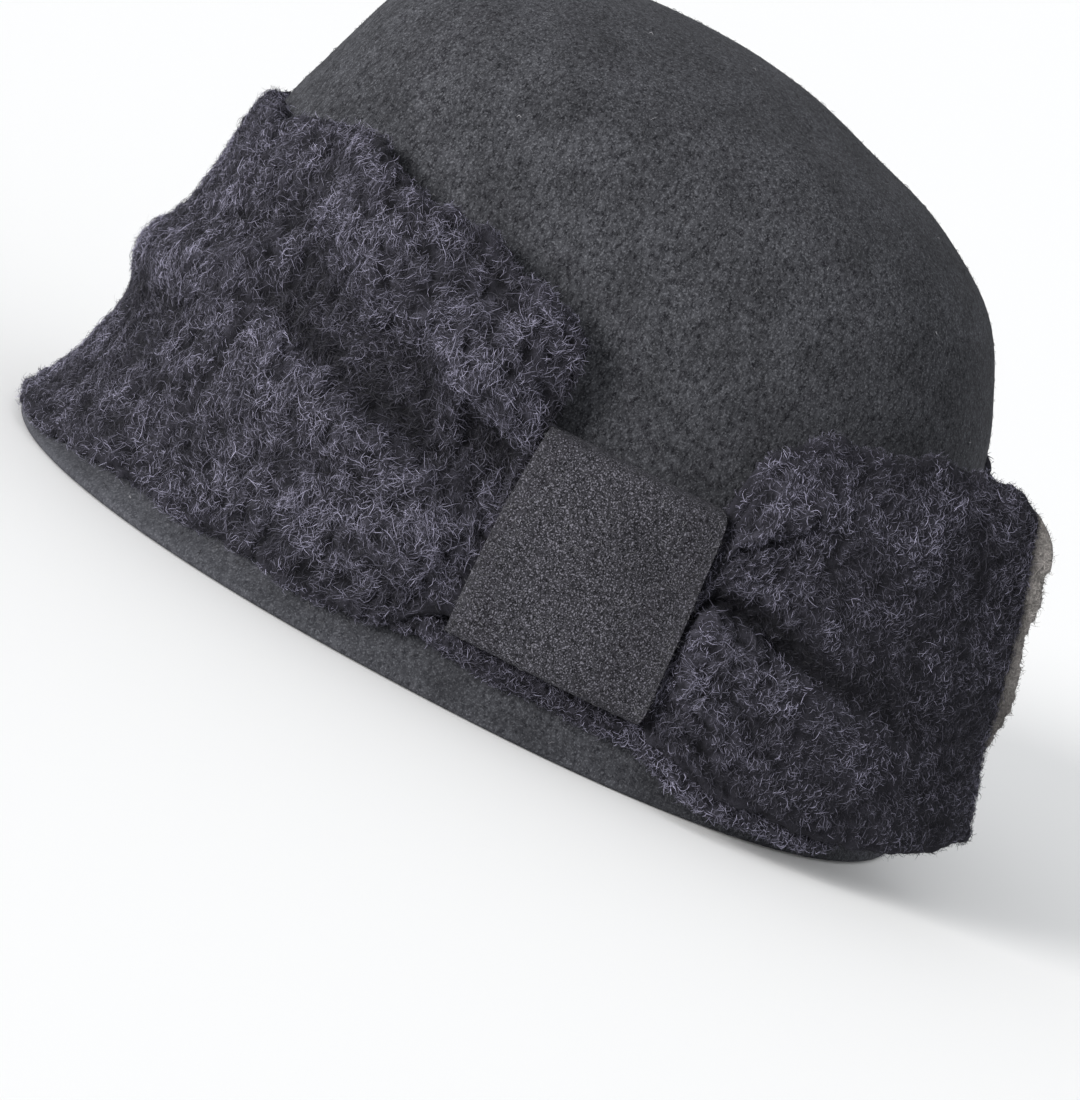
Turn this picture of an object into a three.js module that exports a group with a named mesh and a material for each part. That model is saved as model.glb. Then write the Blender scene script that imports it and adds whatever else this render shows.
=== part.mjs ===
// A wool felt cloche hat with a gathered wool strip.
//
// The hat is three pieces. The body is one hollow piece of felt, crown and small
// brim together. A thick strip of curly wool cloth starts under its own tail at
// the back left, runs round the back, the far side and the front, is gathered
// through a flat felt loop on the wearer's left, and fans out as a free tail.
//
// Millimetres, +Z up. The front of the hat looks along -Y and the wearer's left
// is +X. A turn is an angle in degrees round the crown: 0 is the wearer's left,
// 90 the back and -90 the front. A height is measured up from the rim.

import * as THREE from 'three';

// Felt body
const RIM_LENGTH = 236;
const RIM_WIDTH = 200;
const HAT_HEIGHT = 152;
const FELT_WALL = 2.5;
const RIM_FACE = 3;
const PLAN_POWER = 2.25;
const BACK_FULLNESS = 0.04;

// Wool strip
const STRIP_WIDTH = 90;
const STRIP_THICK = 3.5;
const STRIP_START_DEG = -320;
const STRIP_END_DEG = 62;
const LOWER_EDGE = 6;
const TAIL_STAND = 24;
const EDGE_ROUND = 1.3;

// Felt loop
const LOOP_FROM_DEG = -1;
const LOOP_TO_DEG = 22;
const LOOP_LOW = 16;
const LOOP_TALL = 49;
const LOOP_DEEP = 11;
const LOOP_WALL = 1.8;
const LOOP_CORNER = 3.5;

// Room between two pieces that touch, and under the strip where its pile holds it up
const CLEARANCE = 0.4;
const PILE_SEAT = 0.7;

// Fineness of the meshes
const BODY_SIDES = 60;
const BODY_RINGS = 23;
const RING_CROWDING = 1.3;
const PROFILE_STEPS = 240;
const STRIP_ACROSS = 13;
const LOOP_STEPS = 7;
const CORNER_STEPS = 3;
const SIDE_STEPS = 5;

// The felt's outline, bottom to top. Height is a share of HAT_HEIGHT, reach a
// share of the rim's half length and half width, lean a share of the half length.
const PROFILE = [
  { height: 0.000, reach: 1.000, lean: 0.000 },
  { height: 0.012, reach: 0.988, lean: 0.002 },
  { height: 0.039, reach: 0.951, lean: 0.007 },
  { height: 0.084, reach: 0.916, lean: 0.011 },
  { height: 0.181, reach: 0.876, lean: 0.013 },
  { height: 0.295, reach: 0.849, lean: 0.013 },
  { height: 0.452, reach: 0.819, lean: 0.013 },
  { height: 0.620, reach: 0.782, lean: 0.007 },
  { height: 0.691, reach: 0.748, lean: 0.003 },
  { height: 0.768, reach: 0.705, lean: -0.005 },
  { height: 0.817, reach: 0.666, lean: -0.019 },
  { height: 0.859, reach: 0.611, lean: -0.040 },
  { height: 0.903, reach: 0.530, lean: -0.067 },
  { height: 0.938, reach: 0.417, lean: -0.091 },
  { height: 0.972, reach: 0.291, lean: -0.105 },
  { height: 0.993, reach: 0.143, lean: -0.109 },
  { height: 1.000, reach: 0.000, lean: -0.109 },
];

// The strip's course. Low and high are shares of STRIP_WIDTH above LOWER_EDGE,
// stand is a share of TAIL_STAND that the cloth's back lies off the felt, slant
// is how many degrees the low edge runs ahead, and gather is 1 inside the loop.
const COURSE = [
  { turn: STRIP_START_DEG, low: 0.18, high: 0.70, stand: 0.00, slant: 0, gather: 0 },
  { turn: -300, low: 0.10, high: 0.80, stand: 0.00, slant: 0, gather: 0 },
  { turn: -270, low: 0.02, high: 0.88, stand: 0.00, slant: 0, gather: 0 },
  { turn: -225, low: -0.02, high: 0.94, stand: 0.00, slant: 0, gather: 0 },
  { turn: -180, low: 0.00, high: 0.98, stand: 0.00, slant: 0, gather: 0 },
  { turn: -135, low: -0.02, high: 0.99, stand: 0.00, slant: 0, gather: 0 },
  { turn: -90, low: -0.03, high: 0.93, stand: 0.00, slant: 0, gather: 0 },
  { turn: -63, low: -0.03, high: 0.95, stand: 0.00, slant: 0, gather: 0 },
  { turn: -45, low: 0.00, high: 1.02, stand: 0.00, slant: 0, gather: 0 },
  { turn: -36, low: 0.00, high: 1.03, stand: 0.02, slant: 0, gather: 0 },
  { turn: -27, low: 0.00, high: 1.00, stand: 0.03, slant: 0, gather: 0 },
  { turn: -19, low: 0.00, high: 0.99, stand: 0.05, slant: 0, gather: 0 },
  { turn: -12, low: 0.02, high: 0.96, stand: 0.07, slant: -1, gather: 0 },
  { turn: -7, low: 0.04, high: 0.92, stand: 0.09, slant: -3, gather: 0 },
  { turn: -3.4, low: 0.07, high: 0.85, stand: 0.10, slant: -5, gather: 0 },
  { turn: LOOP_FROM_DEG - 0.6, low: 0.10, high: 0.66, stand: 0.10, slant: 0, gather: 1 },
  { turn: LOOP_TO_DEG + 0.6, low: 0.10, high: 0.70, stand: 0.12, slant: 0, gather: 1 },
  { turn: LOOP_TO_DEG + 2.6, low: 0.08, high: 0.80, stand: 0.20, slant: 0, gather: 0 },
  { turn: 29, low: 0.05, high: 0.89, stand: 0.29, slant: 0, gather: 0 },
  { turn: 34, low: 0.03, high: 0.95, stand: 0.39, slant: 0, gather: 0 },
  { turn: 41, low: 0.02, high: 0.98, stand: 0.54, slant: 1, gather: 0 },
  { turn: 47, low: 0.03, high: 0.99, stand: 0.68, slant: 2, gather: 0 },
  { turn: 54, low: 0.06, high: 1.01, stand: 0.85, slant: 5, gather: 0 },
  { turn: STRIP_END_DEG, low: 0.11, high: 0.99, stand: 1.00, slant: 9, gather: 0 },
];

// The strip's folds. Each runs from one turn and level to another, and level is
// a share of the strip's width at that turn. Crest is a share of STRIP_THICK, up
// or down, and below and above are the reach of its two sides, as shares of the
// width: a small one is a sharp side, a large one a soft side.
const FOLDS = [
  // The long lap of the front panel, from the loop to the front of the hat
  { from: -3, level: 0.46, to: -40, end: 0.57, crest: 0.80, below: 0.05, above: 0.26 },
  { from: -40, level: 0.57, to: -98, end: 0.47, crest: 0.95, below: 0.04, above: 0.12 },
  { from: -4, level: 0.36, to: -34, end: 0.47, crest: -0.30, below: 0.07, above: 0.06 },
  // The puffed mound above the loop, and the hollow in front of it
  { from: -6, level: 0.82, to: -15, end: 0.84, crest: 1.25, below: 0.20, above: 0.30 },
  { from: -7, level: 0.52, to: -31, end: 0.82, crest: -0.75, below: 0.09, above: 0.09 },
  { from: -34, level: 0.90, to: -62, end: 0.84, crest: 0.35, below: 0.14, above: 0.20 },
  // The lower half of the front panel
  { from: -5, level: 0.20, to: -55, end: 0.24, crest: 0.35, below: 0.14, above: 0.12 },
  // The tail's deep tuck, whose lower lobe lies over the upper one
  { from: 23, level: 0.44, to: 47, end: 0.25, crest: 0.75, below: 0.26, above: 0.05 },
  { from: 23, level: 0.56, to: 45, end: 0.36, crest: -0.60, below: 0.05, above: 0.12 },
  { from: 24, level: 0.84, to: 48, end: 0.80, crest: 0.45, below: 0.16, above: 0.16 },
  // Slack on the far side and the back
  { from: -130, level: 0.62, to: -215, end: 0.40, crest: 0.45, below: 0.10, above: 0.22 },
  { from: -205, level: 0.72, to: -285, end: 0.50, crest: 0.40, below: 0.10, above: 0.20 },
];

const MATERIALS = {
  bodyFelt: new THREE.MeshStandardMaterial({ color: 0x2b2f32, roughness: 0.95, metalness: 0 }),
  stripWool: new THREE.MeshStandardMaterial({ color: 0x24252c, roughness: 1, metalness: 0 }),
  loopFelt: new THREE.MeshStandardMaterial({ color: 0x25272b, roughness: 0.93, metalness: 0 }),
};

const mix = (a, b, share) => a + (b - a) * share;
const clamp = (value) => Math.min(1, Math.max(0, value));
const ease = (value) => clamp(value) ** 2 * (3 - 2 * clamp(value));

// A smooth value between the rows of a table that never passes its own rows
function between(rows, place, column, at) {
  const last = rows.length - 1;
  let k = rows.findIndex((row) => row[place] > at) - 1;
  if (k < 0) k = at < rows[0][place] ? 0 : last - 1;
  const step = (i) => rows[i + 1][place] - rows[i][place];
  const slope = (i) => (rows[i + 1][column] - rows[i][column]) / step(i);
  const tangent = (i) => {
    if (i === 0 || i === last) return 0;
    const before = slope(i - 1);
    const after = slope(i);
    return before * after <= 0 ? 0 : (2 * before * after) / (before + after);
  };
  const t = clamp((at - rows[k][place]) / step(k));
  const rise = (t ** 3 - 2 * t ** 2 + t) * tangent(k) + (t ** 3 - t ** 2) * tangent(k + 1);
  return mix(rows[k][column], rows[k + 1][column], ease(t)) + rise * step(k);
}

// The felt's outline as close points, bottom to top
const outline = new THREE.CatmullRomCurve3(
  PROFILE.map((row) => new THREE.Vector3(row.reach, row.lean, row.height)),
  false,
  'centripetal',
)
  .getSpacedPoints(PROFILE_STEPS)
  .map((p) => ({ reach: p.x, lean: p.y, height: clamp(p.z) }));

function outlineAt(height) {
  const share = clamp(height / HAT_HEIGHT);
  const k = Math.max(1, outline.findIndex((row) => row.height >= share));
  const t = clamp((share - outline[k - 1].height) / (outline[k].height - outline[k - 1].height));
  return {
    reach: mix(outline[k - 1].reach, outline[k].reach, t),
    lean: mix(outline[k - 1].lean, outline[k].lean, t),
  };
}

// A point of an egg-shaped ring, fuller at the back than at the front
function ringPoint(turn, halfLength, halfWidth, lean, height) {
  const angle = THREE.MathUtils.degToRad(turn);
  const across = Math.cos(angle);
  const along = Math.sin(angle);
  const radius = (Math.abs(across) ** PLAN_POWER + Math.abs(along) ** PLAN_POWER) ** (-1 / PLAN_POWER);
  const width = halfWidth * (1 + BACK_FULLNESS * along);
  return new THREE.Vector3(width * radius * across, halfLength * radius * along + lean, height);
}

// A point that stands off the felt's outer face by a distance
function feltPoint(turn, height, distance) {
  const { reach, lean } = outlineAt(height);
  return ringPoint(
    turn,
    (reach * RIM_LENGTH) / 2 + distance,
    (reach * RIM_WIDTH) / 2 + distance,
    (lean * RIM_LENGTH) / 2,
    height,
  );
}

// A closed wall between two grids of points, the outer one and the inner one.
// Points that coincide, as at the top of the crown, become one vertex.
function closedWall(outer, inner, { ring = false } = {}) {
  const vertices = [];
  const indices = [];
  const known = new Map();

  function vertex(point) {
    const key = point.toArray().map((value) => Math.round(value * 1e4)).join(' ');
    if (!known.has(key)) {
      known.set(key, vertices.length / 3);
      vertices.push(point.x, point.y, point.z);
    }
    return known.get(key);
  }

  function triangle(a, b, c) {
    const corners = [a, b, c].map(vertex);
    if (new Set(corners).size === 3) indices.push(...corners);
  }

  function quad(a, b, c, d) {
    triangle(a, b, c);
    triangle(a, c, d);
  }

  const rows = outer.length;
  const last = outer[0].length - 1;
  for (let i = 0; i < (ring ? rows : rows - 1); i += 1) {
    const next = (i + 1) % rows;
    for (let j = 0; j < last; j += 1) {
      quad(outer[i][j], outer[next][j], outer[next][j + 1], outer[i][j + 1]);
      quad(inner[i][j], inner[i][j + 1], inner[next][j + 1], inner[next][j]);
    }
    quad(outer[i][0], inner[i][0], inner[next][0], outer[next][0]);
    quad(outer[i][last], outer[next][last], inner[next][last], inner[i][last]);
  }
  if (!ring) {
    for (let j = 0; j < last; j += 1) {
      quad(outer[0][j], outer[0][j + 1], inner[0][j + 1], inner[0][j]);
      quad(outer[rows - 1][j], inner[rows - 1][j], inner[rows - 1][j + 1], outer[rows - 1][j + 1]);
    }
  }
  const geometry = new THREE.BufferGeometry();
  geometry.setAttribute('position', new THREE.Float32BufferAttribute(vertices, 3));
  geometry.setIndex(indices);
  geometry.computeVertexNormals();
  return geometry;
}

// Crown and brim: one hollow piece of felt with a flat ring to rest on
function feltBody() {
  const rings = [];
  for (let k = 0; k <= BODY_RINGS; k += 1) {
    const at = Math.round((k / BODY_RINGS) ** RING_CROWDING * PROFILE_STEPS);
    const here = outline[at];
    const before = outline[Math.max(0, at - 1)];
    const after = outline[Math.min(PROFILE_STEPS, at + 1)];
    const rise = (after.height - before.height) * HAT_HEIGHT;
    const run = ((before.reach - after.reach) * (RIM_LENGTH + RIM_WIDTH)) / 4;
    const long = Math.hypot(rise, run);
    rings.push({ ...here, out: rise / long, up: run / long });
  }
  // The wall's lower end is level, so the inner face starts on the rest plane
  const innerRise = (ring, k) => (k === 0 ? 0 : ring.up * FELT_WALL);
  const innerRun = (ring, k) => (k === 0 ? RIM_FACE : ring.out * FELT_WALL);
  const top = rings.length - 1;
  const outer = [];
  const inner = [];
  for (let i = 0; i < BODY_SIDES; i += 1) {
    const turn = (360 * i) / BODY_SIDES;
    outer.push(rings.map((ring) => ringPoint(
      turn,
      (ring.reach * RIM_LENGTH) / 2,
      (ring.reach * RIM_WIDTH) / 2,
      (ring.lean * RIM_LENGTH) / 2,
      ring.height * HAT_HEIGHT,
    )));
    inner.push(rings.map((ring, k) => ringPoint(
      turn,
      k === top ? 0 : (ring.reach * RIM_LENGTH) / 2 - innerRun(ring, k),
      k === top ? 0 : (ring.reach * RIM_WIDTH) / 2 - innerRun(ring, k),
      (ring.lean * RIM_LENGTH) / 2,
      ring.height * HAT_HEIGHT - innerRise(ring, k),
    )));
  }
  return closedWall(outer, inner, { ring: true });
}

// How far the folds lift the strip at a turn and a level
function foldLift(turn, level) {
  return FOLDS.reduce((sum, fold) => {
    const along = (turn - fold.from) / (fold.to - fold.from);
    const fade = ease((along + 0.12) / 0.24) * ease((1.25 - along) / 0.5);
    const across = level - mix(fold.level, fold.end, clamp(along));
    const side = across < 0 ? fold.below : fold.above;
    return sum + fold.crest * STRIP_THICK * fade * Math.exp(-((across / side) ** 2));
  }, 0);
}

// The strip's outer and back points at a turn, from its low edge to its high one
function stripSection(turn) {
  const at = (column) => between(COURSE, 'turn', column, turn);
  const gather = at('gather');
  const inLoop = {
    low: LOOP_LOW + LOOP_WALL + CLEARANCE,
    high: LOOP_LOW + LOOP_TALL - LOOP_WALL - CLEARANCE,
    back: LOOP_WALL + 2 * CLEARANCE,
    face: LOOP_DEEP - LOOP_WALL - CLEARANCE,
  };
  const low = mix(LOWER_EDGE + at('low') * STRIP_WIDTH, inLoop.low, gather);
  const high = mix(LOWER_EDGE + at('high') * STRIP_WIDTH, inLoop.high, gather);
  const outer = [];
  const inner = [];
  for (let j = 0; j < STRIP_ACROSS; j += 1) {
    const level = (1 - Math.cos((Math.PI * j) / (STRIP_ACROSS - 1))) / 2;
    const lift = foldLift(turn, level);
    const edge = Math.exp(-Math.min(level, 1 - level) / 0.05);
    const freeBack = PILE_SEAT + at('stand') * TAIL_STAND;
    const back = mix(Math.max(PILE_SEAT, freeBack + lift), inLoop.back + edge * EDGE_ROUND, gather);
    const freeFace = Math.max(PILE_SEAT, freeBack + lift) + STRIP_THICK - edge * EDGE_ROUND;
    const loopFace = inLoop.face - edge * EDGE_ROUND;
    const face = mix(freeFace, loopFace, gather);
    const height = mix(low, high, level);
    const place = turn + at('slant') * (0.5 - level);
    outer.push(feltPoint(place, height, face));
    inner.push(feltPoint(place, height, back));
  }
  return { outer, inner };
}

function woolStrip() {
  // Close stations where the strip is gathered, wide ones where it lies plain
  const stretches = [
    { to: -100, step: 6 },
    { to: -40, step: 4 },
    { to: -12, step: 2.4 },
    { to: LOOP_FROM_DEG - 0.6, step: 1.3 },
    { to: LOOP_TO_DEG + 0.6, step: 4 },
    { to: 34, step: 1.4 },
    { to: STRIP_END_DEG, step: 3 },
  ];
  const turns = [STRIP_START_DEG];
  for (const { to, step } of stretches) {
    const from = turns[turns.length - 1];
    const count = Math.max(1, Math.round((to - from) / step));
    for (let k = 1; k <= count; k += 1) turns.push(mix(from, to, k / count));
  }
  const sections = turns.map(stripSection);
  return closedWall(sections.map((s) => s.outer), sections.map((s) => s.inner));
}

// The flat loop that the strip is drawn through: a closed band with round corners
function feltLoop() {
  const centres = [
    { distance: CLEARANCE + LOOP_DEEP - LOOP_CORNER, height: LOOP_LOW + LOOP_CORNER },
    { distance: CLEARANCE + LOOP_DEEP - LOOP_CORNER, height: LOOP_LOW + LOOP_TALL - LOOP_CORNER },
    { distance: CLEARANCE + LOOP_CORNER, height: LOOP_LOW + LOOP_TALL - LOOP_CORNER },
    { distance: CLEARANCE + LOOP_CORNER, height: LOOP_LOW + LOOP_CORNER },
  ];
  // Points round the band's section; the tall sides follow the crown's slope
  const section = (inset) => {
    const corner = (quarter, share) => {
      const angle = ((quarter - 1 + share) * Math.PI) / 2;
      const { distance, height } = centres[quarter];
      const reach = LOOP_CORNER - inset;
      return [distance + reach * Math.cos(angle), height + reach * Math.sin(angle)];
    };
    const points = [];
    centres.forEach((_, quarter) => {
      for (let k = 0; k <= CORNER_STEPS; k += 1) points.push(corner(quarter, k / CORNER_STEPS));
      const isTall = quarter % 2 === 0;
      const from = points[points.length - 1];
      const to = corner((quarter + 1) % 4, 0);
      for (let k = 1; isTall && k < SIDE_STEPS; k += 1) {
        points.push([mix(from[0], to[0], k / SIDE_STEPS), mix(from[1], to[1], k / SIDE_STEPS)]);
      }
    });
    return points;
  };
  const grid = (inset) => section(inset).map(([distance, height]) => {
    const row = [];
    for (let k = 0; k <= LOOP_STEPS; k += 1) {
      row.push(feltPoint(mix(LOOP_TO_DEG, LOOP_FROM_DEG, k / LOOP_STEPS), height, distance));
    }
    return row;
  });
  return closedWall(grid(0), grid(LOOP_WALL), { ring: true });
}

function piece(name, geometry, material) {
  const mesh = new THREE.Mesh(geometry, material);
  mesh.name = name;
  return mesh;
}

const hat = new THREE.Group();
hat.add(piece('felt_body', feltBody(), MATERIALS.bodyFelt));
hat.add(piece('wool_strip', woolStrip(), MATERIALS.stripWool));
hat.add(piece('felt_loop', feltLoop(), MATERIALS.loopFelt));

// The origin is the middle of the whole hat's box, on the plane it rests on
const middle = new THREE.Box3().setFromObject(hat).getCenter(new THREE.Vector3());
hat.position.set(-middle.x, -middle.y, 0);
hat.updateMatrixWorld(true);

export default hat;
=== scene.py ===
# %% [markdown]
# # A cloche hat with a curly wool strip
# The hat has three pieces. The body is wool felt, steamed and pressed over a block into a deep
# crown with a small brim. A thick strip of boiled curly wool runs round it, is drawn tight in a
# flat felt loop at the wearer's left, and fans out behind it as a free tail.
# The solids from CAD give the sizes. Here each of them gets the surface that makes it felt or wool.

import math

import bpy
import numpy as np
from mathutils import Matrix, Vector


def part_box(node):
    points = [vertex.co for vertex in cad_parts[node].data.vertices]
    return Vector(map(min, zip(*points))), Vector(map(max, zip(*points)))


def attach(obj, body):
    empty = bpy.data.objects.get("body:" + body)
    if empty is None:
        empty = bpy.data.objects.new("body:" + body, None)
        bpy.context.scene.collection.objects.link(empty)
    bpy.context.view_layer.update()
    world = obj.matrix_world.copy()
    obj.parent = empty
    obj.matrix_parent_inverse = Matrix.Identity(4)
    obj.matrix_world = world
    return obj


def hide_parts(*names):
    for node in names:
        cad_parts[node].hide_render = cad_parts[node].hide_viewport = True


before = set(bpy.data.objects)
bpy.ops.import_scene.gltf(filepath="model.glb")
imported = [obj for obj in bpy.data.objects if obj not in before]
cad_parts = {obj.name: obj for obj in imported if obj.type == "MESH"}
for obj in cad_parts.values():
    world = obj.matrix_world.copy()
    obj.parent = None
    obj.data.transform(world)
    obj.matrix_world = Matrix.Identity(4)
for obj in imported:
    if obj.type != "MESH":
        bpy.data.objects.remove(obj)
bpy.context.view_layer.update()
felt_low, felt_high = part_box("felt_body")
HAT_MIDDLE = np.array([(felt_low.x + felt_high.x) / 2, (felt_low.y + felt_high.y) / 2, 0.0])
print("solids:", sorted(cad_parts), "hat middle:", HAT_MIDDLE.round(5))

# %% [markdown]
# ## The camera
# The photograph looks at the wearer's left side from a little above, and the hat is tipped forward
# in it. The hat stands level on its rim here, so the camera is rolled instead. One metre away and a
# long lens keep the near and far sides in the photograph's proportion.

# %% Aim the camera at the loop's side
CAMERA_AWAY = 1.0
CAMERA_RISE = math.radians(10.5)
CAMERA_ROLL = math.radians(27.2)
LENS_MM, FILM_MM = 136.36, 36.0
AIM_BEHIND_MIDDLE, AIM_HEIGHT = 0.0098, 0.0229
AIM = Vector((float(HAT_MIDDLE[0]), float(HAT_MIDDLE[1]) + AIM_BEHIND_MIDDLE, AIM_HEIGHT))

towards_hat = Vector((-math.cos(CAMERA_RISE), 0.0, -math.sin(CAMERA_RISE)))
level_right = towards_hat.cross(Vector((0, 0, 1))).normalized()
level_up = level_right.cross(towards_hat)
camera_right = level_right * math.cos(CAMERA_ROLL) + level_up * math.sin(CAMERA_ROLL)
camera_up = level_up * math.cos(CAMERA_ROLL) - level_right * math.sin(CAMERA_ROLL)


def put_in_scene(name, data):
    """A new object in the scene."""
    item = bpy.data.objects.new(name, data)
    bpy.context.scene.collection.objects.link(item)
    return item


camera = put_in_scene("camera", bpy.data.cameras.new("camera"))
camera.data.sensor_width = FILM_MM
camera.data.lens = LENS_MM
camera.data.clip_end = 200.0
turned = Matrix((camera_right, camera_up, -towards_hat)).transposed()
camera.matrix_world = Matrix.Translation(AIM - towards_hat * CAMERA_AWAY) @ turned.to_4x4()
bpy.context.scene.camera = camera
print("camera at", [round(v, 4) for v in camera.matrix_world.translation])

# %% [markdown]
# ## The floor
# The hat stands on a plain white floor that reaches far past the picture, so no edge of it shows.

# %% Lay the floor
FLOOR_HALF = 40.0
floor_mesh = bpy.data.meshes.new("studio_floor")
floor_corners = [(-FLOOR_HALF, -FLOOR_HALF, 0), (FLOOR_HALF, -FLOOR_HALF, 0),
                 (FLOOR_HALF, FLOOR_HALF, 0), (-FLOOR_HALF, FLOOR_HALF, 0)]
floor_mesh.from_pydata(floor_corners, [], [(0, 1, 2, 3)])
floor = put_in_scene("studio_floor", floor_mesh)

white_paint = bpy.data.materials.new("white_floor_paint")
white_paint.use_nodes = True
paint = white_paint.node_tree.nodes["Principled BSDF"]
paint.inputs["Base Color"].default_value = (0.93, 0.93, 0.93, 1)
paint.inputs["Roughness"].default_value = 0.9
floor_mesh.materials.append(white_paint)
print("the floor is", 2 * FLOOR_HALF, "m wide")

# %% [markdown]
# ## The light
# A white sky is the studio's soft fill. One wide lamp in front of the face gives the crown its slow
# fall from light to dark, and its width keeps the edges of the shadows soft.

# %% Light the studio
SKY_STRENGTH = 0.80
LAMP_STRENGTH = 4.8
LAMP_WIDTH = math.radians(28)
LAMP_FROM = Vector((0.84, -0.96, 0.24)).normalized()

sky = bpy.data.worlds.new("studio_sky")
sky.use_nodes = True
sky.node_tree.nodes["Background"].inputs["Color"].default_value = (0.97, 0.985, 1.0, 1)
sky.node_tree.nodes["Background"].inputs["Strength"].default_value = SKY_STRENGTH
bpy.context.scene.world = sky

lamp = put_in_scene("wide_lamp", bpy.data.lights.new("wide_lamp", "SUN"))
lamp.data.energy = LAMP_STRENGTH
lamp.data.angle = LAMP_WIDTH
lamp.data.color = (1.0, 0.985, 0.97)
lamp.rotation_mode = "QUATERNION"
lamp.rotation_quaternion = LAMP_FROM.to_track_quat("Z", "Y")
bpy.context.scene.view_settings.view_transform = "Standard"
print("the lamp shines from", [round(v, 2) for v in LAMP_FROM])

# %% [markdown]
# ## Making meshes from grids of points
# Felt and wool have no flat faces, so every piece here is a grid of points that follows a formula,
# joined into four-sided faces. The grid is made with arrays, which is much faster than adding
# vertices one at a time, and it can be as fine as the curls need.

# %% Join grids of points into pieces
def grid_faces(rows, columns, close_rows=False, close_columns=False):
    """Four-sided faces between neighbouring points of a grid."""
    row = np.arange(rows if close_rows else rows - 1)[:, None]
    column = np.arange(columns if close_columns else columns - 1)[None, :]
    next_row = (row + 1) % rows
    next_column = (column + 1) % columns
    corners = [row * columns + column, row * columns + next_column,
               next_row * columns + next_column, next_row * columns + column]
    return np.stack(corners, -1).reshape(-1, 4)


def tube_faces(rows, columns, other_way=False):
    """The faces of a tube that is closed round and shut at both ends."""
    end = np.arange(columns)[None, :]
    sides = grid_faces(rows, columns, close_columns=True)
    face_sets = [sides, end[:, ::-1], (rows - 1) * columns + end]
    return [faces[:, ::-1] for faces in face_sets] if other_way else face_sets


def make_piece(name, points, face_sets):
    """A smooth mesh object from points in metres and lists of faces."""
    corners = np.concatenate([np.asarray(faces).ravel() for faces in face_sets])
    sizes = np.concatenate([np.full(len(faces), np.shape(faces)[1]) for faces in face_sets])
    starts = np.concatenate([[0], np.cumsum(sizes)[:-1]])
    mesh = bpy.data.meshes.new(name)
    mesh.vertices.add(len(points))
    mesh.vertices.foreach_set("co", np.asarray(points, np.float32).ravel())
    mesh.loops.add(len(corners))
    mesh.loops.foreach_set("vertex_index", corners.astype(np.int32))
    mesh.polygons.add(len(sizes))
    mesh.polygons.foreach_set("loop_start", starts.astype(np.int32))
    mesh.update(calc_edges=True)
    mesh.validate()
    mesh.shade_smooth()
    piece = put_in_scene(name, mesh)
    lowest = float(np.asarray(points)[:, 2].min()) * 1000
    print(name, "lowest point", round(lowest, 2), "mm, triangles", int((sizes - 2).sum()))
    return piece


def mark(piece, name, values):
    """Writes one number at each point of a piece, for its finish to read."""
    attribute = piece.data.attributes.new(name, "FLOAT", "POINT")
    attribute.data.foreach_set("value", np.asarray(values, np.float32).ravel())


print("a grid of 3 by 4 points has", len(grid_faces(3, 4)), "faces")

# %% [markdown]
# ## Directions and soft steps
# Tufts are pushed out of a surface and hairs stand on it, so each grid needs the direction that it
# faces at every point. A step that starts and ends softly joins one shape to the next with no edge.

# %% Measure directions and soften steps
def unit(vectors):
    """Vectors of length one."""
    return vectors / np.maximum(np.linalg.norm(vectors, axis=-1, keepdims=True), 1e-12)


def grid_normals(points):
    """The direction that a grid faces at each of its points. Its rows are closed rings."""
    along_ring = np.roll(points, -1, 1) - np.roll(points, 1, 1)
    return unit(np.cross(along_ring, np.gradient(points, axis=0)))


def outward_normals(points, middle):
    """The direction of a closed grid's surface, away from its middle."""
    normals = grid_normals(points)
    return normals * np.sign((normals * (points - middle)).sum(-1).mean())


def ease(share):
    """A smooth step from 0 to 1."""
    share = np.clip(share, 0.0, 1.0)
    return share * share * (3.0 - 2.0 * share)


print("a quarter of the way into a soft step:", float(ease(0.25)))

# %% [markdown]
# ## Unevenness
# Nothing made of wool is even. Two kinds of seeded noise give the same unevenness on each run. One
# is a soft swell for waves in the cloth. The other finds the nearest of many scattered points, which
# gives the round tufts of a boiled curly wool with dark gaps between them.

# %% Write the swell and the tufts
CELLS = 257  # the noise repeats after so many cells, which is more than any piece has
TUFT_REACH = 0.75


def swell(across, along, size, seed):
    """Soft noise from -1 to 1 whose waves are about one size long."""
    table = np.random.default_rng(seed).uniform(-1.0, 1.0, (CELLS, CELLS))
    x, y = across / size, along / size
    column, row = np.floor(x).astype(int), np.floor(y).astype(int)
    right, up = ease(x - column), ease(y - row)
    column, row = column % CELLS, row % CELLS
    next_column, next_row = (column + 1) % CELLS, (row + 1) % CELLS
    lower = table[row, column] * (1 - right) + table[row, next_column] * right
    upper = table[next_row, column] * (1 - right) + table[next_row, next_column] * right
    return lower * (1 - up) + upper * up


def tufts(across, along, size, seed):
    """Round tufts, 1 on top and 0 in the gaps, and a height of its own for each of them."""
    rng = np.random.default_rng(seed)
    shift = rng.uniform(0.05, 0.95, (CELLS, CELLS, 2))
    heights = rng.uniform(0.4, 1.0, (CELLS, CELLS))
    x, y = across / size, along / size
    column, row = np.floor(x).astype(int), np.floor(y).astype(int)
    nearest = np.full(np.shape(x), 9.0)
    height = np.zeros(np.shape(x))
    for to_row in (-1, 0, 1):
        for to_column in (-1, 0, 1):
            r, c = (row + to_row) % CELLS, (column + to_column) % CELLS
            to_right = column + to_column + shift[r, c, 0] - x
            to_up = row + to_row + shift[r, c, 1] - y
            away = np.hypot(to_right, to_up)
            closer = away < nearest
            nearest = np.where(closer, away, nearest)
            height = np.where(closer, heights[r, c], height)
    return np.clip(1.0 - (nearest / TUFT_REACH) ** 2, 0.0, 1.0) * height


print("swell at one point:", round(float(swell(np.array(0.3), np.array(0.4), 0.1, 1)), 3))

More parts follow.
